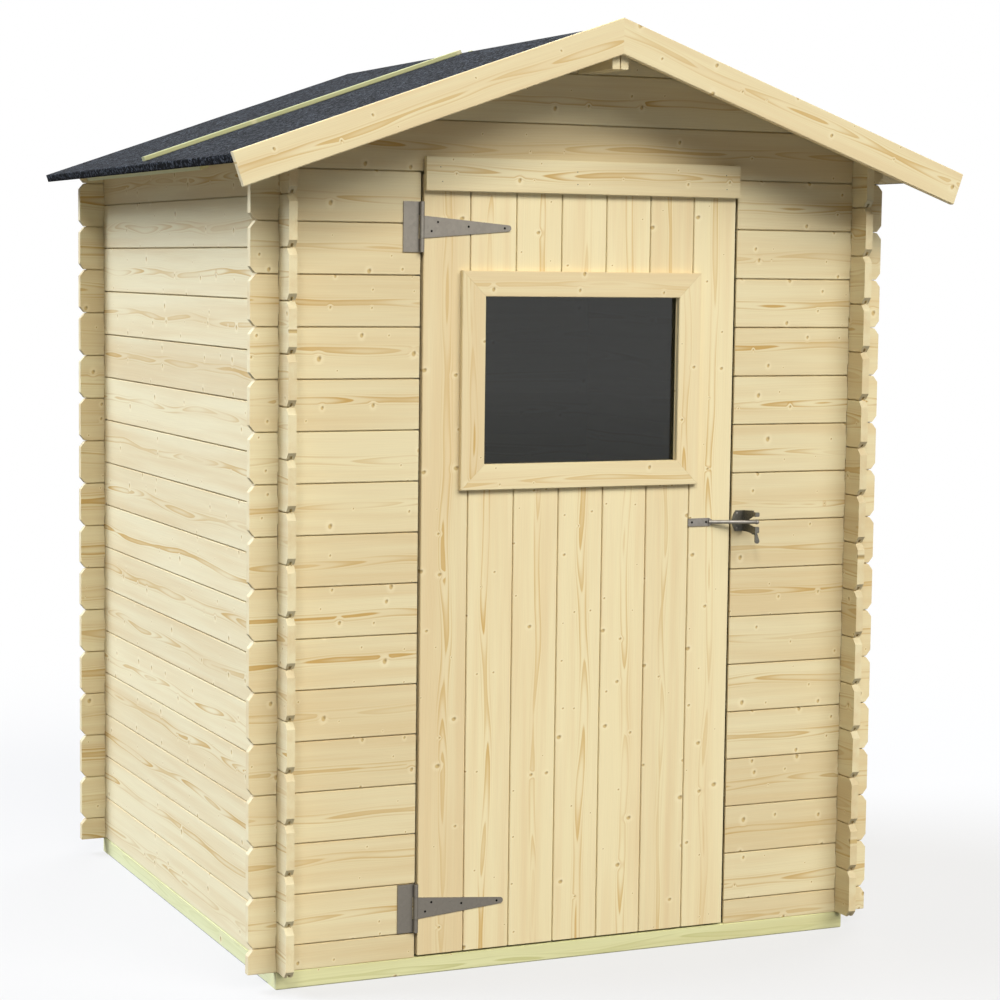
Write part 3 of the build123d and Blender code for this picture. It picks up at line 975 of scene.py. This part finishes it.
def wood(name, pale, warm, late, contrast, knot_share=0.5):
    """Planed softwood, bare and matt.

    The rings of the tree are cylinders round its pith. A flat-sawn board shows slim pointed flames
    over the pith and fine lines beside them that fade from sight, and an end shows arcs.
    """
    material, tree = new_material(name)
    grain = add(tree, "Attribute", attribute_name="grain").outputs["Vector"]
    tone = add(tree, "Attribute", attribute_name="tone").outputs["Fac"]
    end_grain = add(tree, "Attribute", attribute_name="end_grain").outputs["Fac"]
    knot = knots(tree, grain, knot_share)
    strength = late_wood(tree, grain, end_grain, knot, contrast)

    # Soft streaks run along the board, under the rings and the knots
    streak = drawn_out(tree, grain, (1.4, 32, 32), 3.0)
    streak = maths(tree, "MULTIPLY_ADD", tone, 0.12, streak)
    streak = remap(tree, streak, 0.35, 0.68)
    colour = mix_colours(tree, streak, linear(pale), linear(warm))
    colour = mix_colours(tree, strength, colour, linear(late))
    for distance, inner, outer, amount, tint in knot_zones:
        mask = remap(tree, knot[distance], inner, outer, amount, 0.0, "SMOOTHSTEP")
        mask = maths(tree, "MULTIPLY", mask, knot["present"])
        colour = mix_colours(tree, mask, colour, linear(tint))

    # Fine fibres, boards a little lighter or darker, and painted shade on faces that slope across the grain,
    # such as the end chamfers, which catch more of the lamps' light than the faces
    fibre = drawn_out(tree, grain, (9, 380, 380), 2.0)
    shade = remap(tree, fibre, 0.25, 0.75, 0.975, 1.02)
    shade = maths(tree, "MULTIPLY_ADD", tone, -0.03, shade)
    # painted shade: darkens faces partly across the grain, the board-end chamfers, which face the lamps more
    # squarely
    side_share = maths(tree, "SUBTRACT", 1.0, end_grain)
    painted_chamfer_shade = maths(tree, "MULTIPLY", end_grain, side_share)
    shade = maths(tree, "MULTIPLY_ADD", painted_chamfer_shade, -0.9, shade)
    colour = scaled(tree, colour, shade)

    height = maths(tree, "MULTIPLY_ADD", strength, 0.5, fibre)
    surface(tree, height, 0.15, 0.2 * MM, {"Base Color": colour, "Roughness": 0.65, "IOR": 1.45})
    return material


# Felt, steel and glass

def mineral_felt():
    """Bitumen felt with a sanded mineral face: near-black blue-grey, matt, with pale grit.

    Real grit is about 1 mm. It is drawn 5 mm coarse so that it shows.
    """
    grit_size = 5 * MM
    material, tree = new_material("sanded_bitumen_felt")
    place_in_piece = add(tree, "TexCoord").outputs["Object"]
    grit = add(tree, "TexVoronoi", {"Vector": place_in_piece, "Scale": 1 / grit_size}, feature="F1")
    luck = add(tree, "SeparateColor", {0: grit.outputs["Color"]}).outputs["Red"]
    clumps = noise(tree, place_in_piece, 60.0, 3.0)
    ground = mix_colours(tree, remap(tree, clumps, 0.35, 0.65), linear("#040506"), linear("#0e1013"))
    colour = mix_colours(tree, remap(tree, luck, 0.6, 1.0), ground, linear("#4b5057"))
    height = maths(tree, "MULTIPLY_ADD", luck, 0.6, clumps)
    surface(tree, height, 0.6, 1.0 * MM, {
        "Base Color": colour, "Roughness": 0.9, "IOR": 1.5, "Specular IOR Level": 0.05,
    })
    return material


def zinc_steel(name, dark, pale, roughness, spangle):
    """Zinc-coated steel: a dull warm grey with the faint crystal patches of the coating.

    The pale patches are a little smoother than the dark ones.
    """
    material, tree = new_material(name)
    place_in_piece = add(tree, "TexCoord").outputs["Object"]
    crystal = add(tree, "TexVoronoi", {"Vector": place_in_piece, "Scale": 1 / spangle}, feature="F1")
    luck = add(tree, "SeparateColor", {0: crystal.outputs["Color"]}).outputs["Red"]
    cloud = noise(tree, place_in_piece, 22.0, 3.0)
    share = maths(tree, "MULTIPLY_ADD", luck, 0.35, cloud)
    share = remap(tree, share, 0.35, 1.0)
    colour = mix_colours(tree, share, linear(dark), linear(pale))
    rough = remap(tree, share, 0.0, 1.0, roughness + 0.08, roughness - 0.06)
    surface(tree, cloud, 0.15, 0.4 * MM, {"Base Color": colour, "Metallic": 1.0, "Roughness": rough})
    return material


def shade_tinted_glass():
    """Float glass, smooth and with a faint reflection. Its dark grey-green tint is painted shade: it dims the
    room behind the pane.
    """
    material, tree = new_material("shade_tinted_glass")
    place_in_piece = add(tree, "TexCoord").outputs["Object"]
    ripple = noise(tree, place_in_piece, 3.0, 1.0)
    # painted shade: the dark base colour dims what is seen through the pane
    surface(tree, ripple, 0.05, 1.0 * MM, {
        "Base Color": linear("#858b82"), "Roughness": 0.02, "IOR": 1.52, "Transmission Weight": 1.0,
    })
    return material


spruce = wood("planed_spruce", "#e1d6b0", "#d9c79d", "#c2a05f", contrast=1.15)
door_spruce = wood("planed_spruce_door", "#e8dcb4", "#e1cea4", "#ccaa68", contrast=1.1)
treated_softwood = wood("pressure_treated_pine", "#dfe0b0", "#d5d3a0", "#b9b878",
                        contrast=0.6, knot_share=0.3)
treated_batten = wood("pressure_treated_batten", "#c3c596", "#b6b787", "#9c9b62",
                      contrast=0.6, knot_share=0.3)
roofing_felt = mineral_felt()
galvanised_steel = zinc_steel("galvanised_steel", "#827d75", "#8c877e", roughness=0.5, spangle=9 * MM)
bright_steel = zinc_steel("bright_zinc_steel", "#848079", "#94908a", roughness=0.55, spangle=9 * MM)
black_steel = zinc_steel("blackened_steel", "#121110", "#1c1b1a", roughness=0.5, spangle=5 * MM)
dark_steel = zinc_steel("dark_zinc_steel", "#64625d", "#888579", roughness=0.45, spangle=5 * MM)
window_glass_material = shade_tinted_glass()


# CAD nodes that stay: steel and glass, with the edges of the steel eased

def dress(node, material, ease=0.0):
    """Gives a CAD node its finish, and eases its edges with a modifier."""
    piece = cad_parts[node]
    piece.data.materials.clear()
    piece.data.materials.append(material)
    if ease:
        bevel = piece.modifiers.new("eased_edges", "BEVEL")
        bevel.width = ease
        bevel.segments = 2
        bevel.limit_method = "ANGLE"
        bevel.angle_limit = math.radians(50)
        bevel.harden_normals = False


def hardware():
    for word in ("lower", "upper"):
        dress("hinge_leaf_" + word, galvanised_steel, hardware_ease)
        dress("hinge_strap_" + word, galvanised_steel, hardware_ease)
    dress("latch_bar", bright_steel, hardware_ease)
    dress("latch_catch", dark_steel, hardware_ease)
    dress("latch_lever", dark_steel, lever_ease)
    dress("window_glass", window_glass_material)


# Stage, light and camera

floor_radius = 30.0
floor_sides = 96
fade_start = 1.6                # the floor is pale grey up to here, with the shed's shadow on it
fade_end = 4.5                  # and white from here on


def seen_directly(tree, kinds):
    """1 for the kinds of rays that look at the background, 0 for the light it gives."""
    path = add(tree, "LightPath").outputs
    seen = path["Is %s Ray" % kinds[0]]
    for kind in kinds[1:]:
        seen = maths(tree, "MAXIMUM", seen, path["Is %s Ray" % kind])
    return seen


def studio_world():
    """White background, with a weaker and slightly cool light from all round."""
    world = bpy.data.worlds.new("studio")
    bpy.context.scene.world = world
    world.use_nodes = True
    tree = world.node_tree
    tree.nodes.clear()
    fill = add(tree, "Background", {"Color": linear("#f4f7ff"), "Strength": 0.04}).outputs[0]
    white = add(tree, "Background", {"Color": WHITE, "Strength": 1.0}).outputs[0]
    seen = seen_directly(tree, ("Camera", "Glossy", "Transmission"))
    add(tree, "OutputWorld", {"Surface": mix_shaders(tree, seen, fill, white)})


def outside_walls(tree, where):
    """1 outside the walls and 0 inside them."""
    from_middle = vector(tree, "SUBTRACT", where, (0, (y_front + y_back) / 2, 0))
    from_middle = add(tree, "SeparateXYZ", {0: vector(tree, "ABSOLUTE", from_middle)}).outputs
    outside_x = maths(tree, "GREATER_THAN", from_middle["X"], half_width)
    outside_y = maths(tree, "GREATER_THAN", from_middle["Y"], (y_back - y_front) / 2)
    return maths(tree, "MAXIMUM", outside_x, outside_y)


def pale_floor():
    """Pale grey with a soft shadow by the shed, and white further away like the background.

    It is plain inside the walls. Smooth steel and glass mirror it dimly near the shed, and the light
    that it throws back is a duller grey's.
    """
    material, tree = new_material("pale_floor")
    where = add(tree, "TexCoord").outputs["Object"]
    distance = length_of(tree, where)
    glow = remap(tree, distance, fade_start, fade_end, 0.7, 1.0, "SMOOTHSTEP")
    glow = maths(tree, "MULTIPLY", glow, outside_walls(tree, where))
    bounce = add(tree, "BsdfDiffuse", {"Color": linear("#6a6967")}).outputs[0]
    lit = add(tree, "BsdfDiffuse", {"Color": linear("#b4b4b4")}).outputs[0]
    light = add(tree, "Emission", {"Color": WHITE, "Strength": 1.0}).outputs[0]
    sheen = remap(tree, distance, 8.0, 28.0, 0.3, 1.0)
    sheen = maths(tree, "MULTIPLY", sheen, seen_directly(tree, ("Glossy",)))
    mirrored = mix_shaders(tree, sheen, bounce, light)
    shown = mix_shaders(tree, glow, lit, light)
    seen = seen_directly(tree, ("Camera", "Transmission"))
    add(tree, "OutputMaterial", {"Surface": mix_shaders(tree, seen, mirrored, shown)})
    return material


def studio_floor():
    """A wide round floor."""
    turns = [k * math.tau / floor_sides for k in range(floor_sides)]
    points = [(floor_radius * math.cos(turn), floor_radius * math.sin(turn), 0) for turn in turns]
    mesh = bpy.data.meshes.new("studio_floor")
    mesh.from_pydata(points, [], [tuple(range(floor_sides))])
    mesh.materials.append(pale_floor())
    floor = link_new("studio_floor", mesh)


def soft_sun(name, azimuth, elevation, spread, strength, colour):
    """A large lamp far away. Azimuth is from straight in front of the door, positive to the right."""
    lamp = bpy.data.lights.new(name, "SUN")
    lamp.angle = math.radians(spread)
    lamp.energy = strength
    lamp.color = linear(colour)[:3]
    holder = link_new(name, lamp)
    turn = math.radians(azimuth)
    rise = math.radians(elevation)
    towards = Vector((math.sin(turn) * math.cos(rise), -math.cos(turn) * math.cos(rise), math.sin(rise)))
    holder.rotation_euler = towards.to_track_quat("Z", "Y").to_euler()


def studio_lights():
    soft_sun("key_lamp", azimuth=-30, elevation=38, spread=12, strength=0.85, colour="#fffbf3")
    soft_sun("front_lamp", azimuth=0, elevation=38, spread=32, strength=1.5, colour="#fffbf3")
    soft_sun("front_right_lamp", azimuth=32, elevation=38, spread=32, strength=1.5, colour="#fffbf3")
    soft_sun("left_lamp", azimuth=-122, elevation=45, spread=40, strength=5.2, colour="#e9f0ff")
    soft_sun("rear_lamp", azimuth=130, elevation=40, spread=40, strength=1.6, colour="#ffffff")


def camera():
    """The photograph's view: a long lens to the left of the door, at eye height, with a slight roll."""
    position = (-2.5239, -5.8289, 1.600)
    yaw = math.radians(24.229)
    pitch = math.radians(5.291)
    roll = math.radians(0.705)
    forward = Vector((math.sin(yaw) * math.cos(pitch), math.cos(yaw) * math.cos(pitch), -math.sin(pitch)))
    level = Vector((math.cos(yaw), -math.sin(yaw), 0))
    upright = level.cross(forward)
    right = math.cos(roll) * level + math.sin(roll) * upright
    up = math.cos(roll) * upright - math.sin(roll) * level
    data = bpy.data.cameras.new("photo_camera")
    data.sensor_width = 36.0
    data.lens = 90.604
    data.clip_start = 0.1
    data.clip_end = 200.0
    holder = link_new("photo_camera", data)
    holder.matrix_world = place(position, right, up, -forward)
    bpy.context.scene.camera = holder


walls()
base()
roof()
door()
fasteners()
hardware()
studio_world()
studio_floor()
studio_lights()
camera()
bpy.context.scene.view_settings.view_transform = "Standard"
